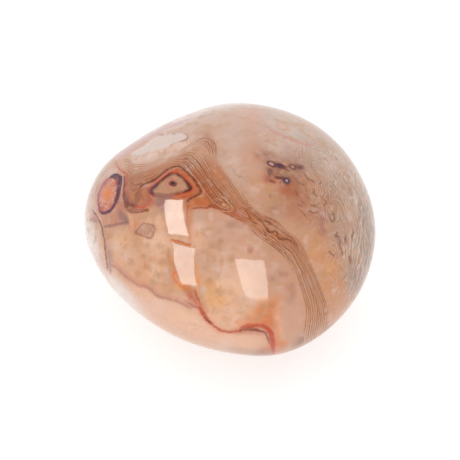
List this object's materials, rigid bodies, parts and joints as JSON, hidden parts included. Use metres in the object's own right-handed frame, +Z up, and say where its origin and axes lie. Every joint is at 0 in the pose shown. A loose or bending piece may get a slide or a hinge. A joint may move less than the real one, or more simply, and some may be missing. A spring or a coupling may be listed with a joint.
{
  "type": "carnelian agate tumbled stone",
  "caption": "Rounded pebble of polished salmon and cream banded agate, lying on its flattest side; a loose decorative stone for a hand, tray or shelf.",
  "frame": {"origin": "on the surface the stone rests on, under the middle of its length and breadth", "axes": "+X along the stone's length, +Y away from the viewer of the picture, +Z up through its thickness"},
  "size_m": [0.045, 0.0422, 0.0334],
  "materials": {
    "agate": "wet gloss polish over banded, mottled salmon chalcedony"
  },
  "bodies": {
    "root": {"tumbled_stone": "agate"}
  },
  "joints": []
}
